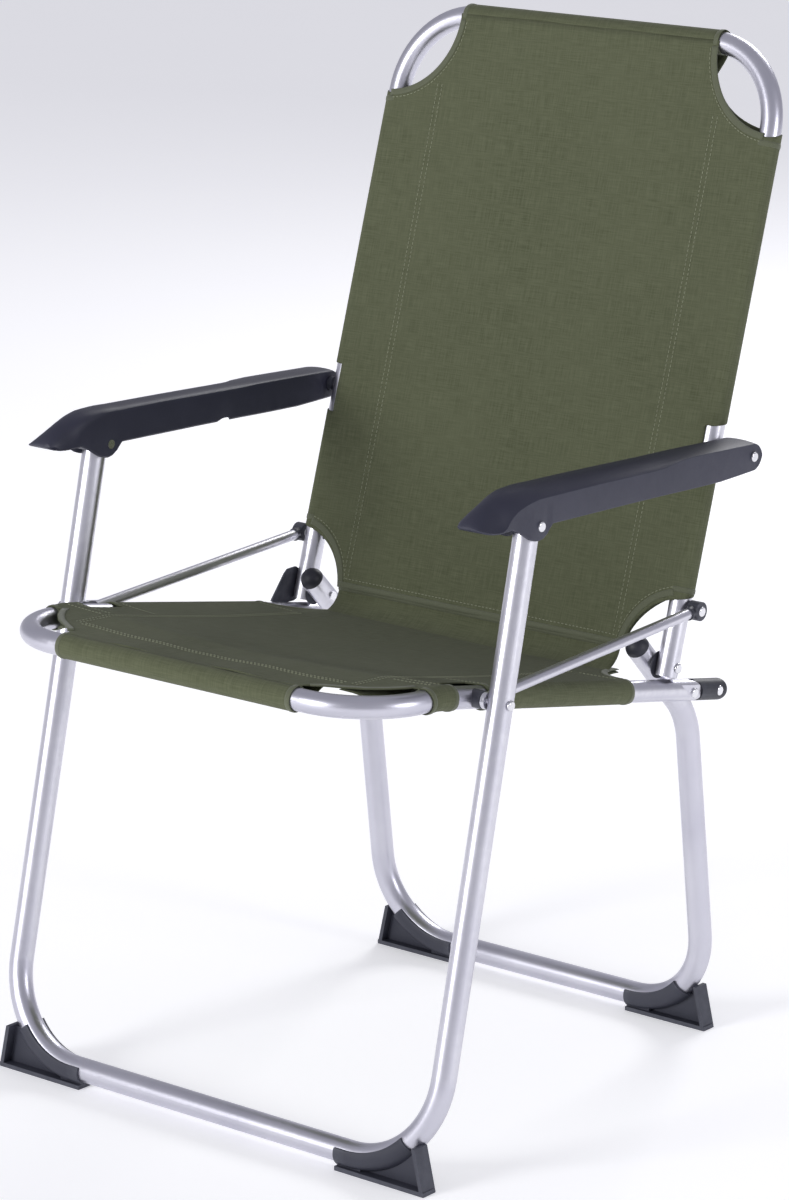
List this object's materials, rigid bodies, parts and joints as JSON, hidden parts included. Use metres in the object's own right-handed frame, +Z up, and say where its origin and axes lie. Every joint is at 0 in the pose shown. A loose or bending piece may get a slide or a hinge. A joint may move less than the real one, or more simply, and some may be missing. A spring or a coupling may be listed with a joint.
{
  "type": "folding camp chair",
  "caption": "Folding camp chair with bent aluminium tube frames, moulded armrests, plastic corner feet and an olive woven fabric seat and back.",
  "frame": {"origin": "on the floor, in the middle of the bounding box", "axes": "+X towards the right-hand armrest as seen from the front, -Y the front of the chair, +Z up"},
  "size_m": [0.5306, 0.6055, 0.9247],
  "materials": {
    "frame_aluminium": "satin",
    "sling_fabric": "woven matte",
    "armrest_plastic": "fine moulded texture",
    "foot_plastic": "matte",
    "black_plastic": "matte",
    "rivet_metal": "bright"
  },
  "bodies": {
    "seat": {"seat_frame": "frame_aluminium", "seat_sling": "sling_fabric", "front_saddle_left": "black_plastic", "front_saddle_right": "black_plastic", "front_pivot_rivets": "rivet_metal", "seat_hinge_rivets": "rivet_metal", "rail_end_block_left": "black_plastic", "rail_end_block_right": "black_plastic", "block_rivets": "rivet_metal"},
    "front_legs": {"front_leg_frame": "frame_aluminium", "front_foot_left": "foot_plastic", "front_foot_right": "foot_plastic"},
    "rear_legs": {"rear_leg_frame": "frame_aluminium", "rear_foot_left": "foot_plastic", "rear_foot_right": "foot_plastic", "rear_leg_cap_left": "black_plastic", "rear_leg_cap_right": "black_plastic", "back_spacer_left": "black_plastic", "back_spacer_right": "black_plastic"},
    "back": {"back_frame": "frame_aluminium", "back_sling": "sling_fabric", "back_pivot_rivets": "rivet_metal", "armrest_rear_rivets": "rivet_metal", "armrest_spacer_left": "black_plastic", "armrest_spacer_right": "black_plastic", "fold_catch": "black_plastic"},
    "strut_left": {"strut_left": "frame_aluminium", "strut_eye_left": "black_plastic", "strut_rivet_left": "rivet_metal"},
    "armrest_left": {"armrest_left": "armrest_plastic", "armrest_studs_left": "rivet_metal"},
    "strut_right": {"strut_right": "frame_aluminium", "strut_eye_right": "black_plastic", "strut_rivet_right": "rivet_metal"},
    "armrest_right": {"armrest_right": "armrest_plastic", "armrest_studs_right": "rivet_metal"}
  },
  "joints": [
    {"name": "rear_leg_fold", "type": "hinge", "parent": "seat", "child": "rear_legs", "pos_m": [0, 0.1555, 0.347], "axis": [-1, 0, 0], "range_deg": [0, 110]},
    {"name": "front_leg_fold", "type": "hinge", "parent": "seat", "child": "front_legs", "pos_m": [0, -0.162, 0.413], "axis": [1, 0, 0], "range_deg": [0, 79]},
    {"name": "back_fold", "type": "hinge", "parent": "rear_legs", "child": "back", "pos_m": [0, 0.12663, 0.37648], "axis": [1, 0, 0], "range_deg": [0, 201]},
    {"name": "strut_left_swing", "type": "hinge", "parent": "seat", "child": "strut_left", "pos_m": [-0.2315, -0.162, 0.413], "axis": [-1, 0, 0], "range_deg": [0, 9.16]},
    {"name": "armrest_left_fold", "type": "hinge", "parent": "back", "child": "armrest_left", "pos_m": [-0.246, 0.18317, 0.56657], "axis": [-1, 0, 0], "range_deg": [0, 102.94]},
    {"name": "strut_right_swing", "type": "hinge", "parent": "seat", "child": "strut_right", "pos_m": [0.2315, -0.162, 0.413], "axis": [-1, 0, 0], "range_deg": [0, 9.16]},
    {"name": "armrest_right_fold", "type": "hinge", "parent": "back", "child": "armrest_right", "pos_m": [0.246, 0.18317, 0.56657], "axis": [-1, 0, 0], "range_deg": [0, 102.94]}
  ],
  "couplings": [
    {"joint": "front_leg_fold", "follows": "rear_leg_fold", "ratio": 0.71818},
    {"joint": "back_fold", "follows": "rear_leg_fold", "ratio": 1.8273},
    {"joint": "strut_left_swing", "follows": "rear_leg_fold", "ratio": 0.083272},
    {"joint": "armrest_left_fold", "follows": "rear_leg_fold", "ratio": 0.93582},
    {"joint": "strut_right_swing", "follows": "rear_leg_fold", "ratio": 0.083272},
    {"joint": "armrest_right_fold", "follows": "rear_leg_fold", "ratio": 0.93582}
  ]
}
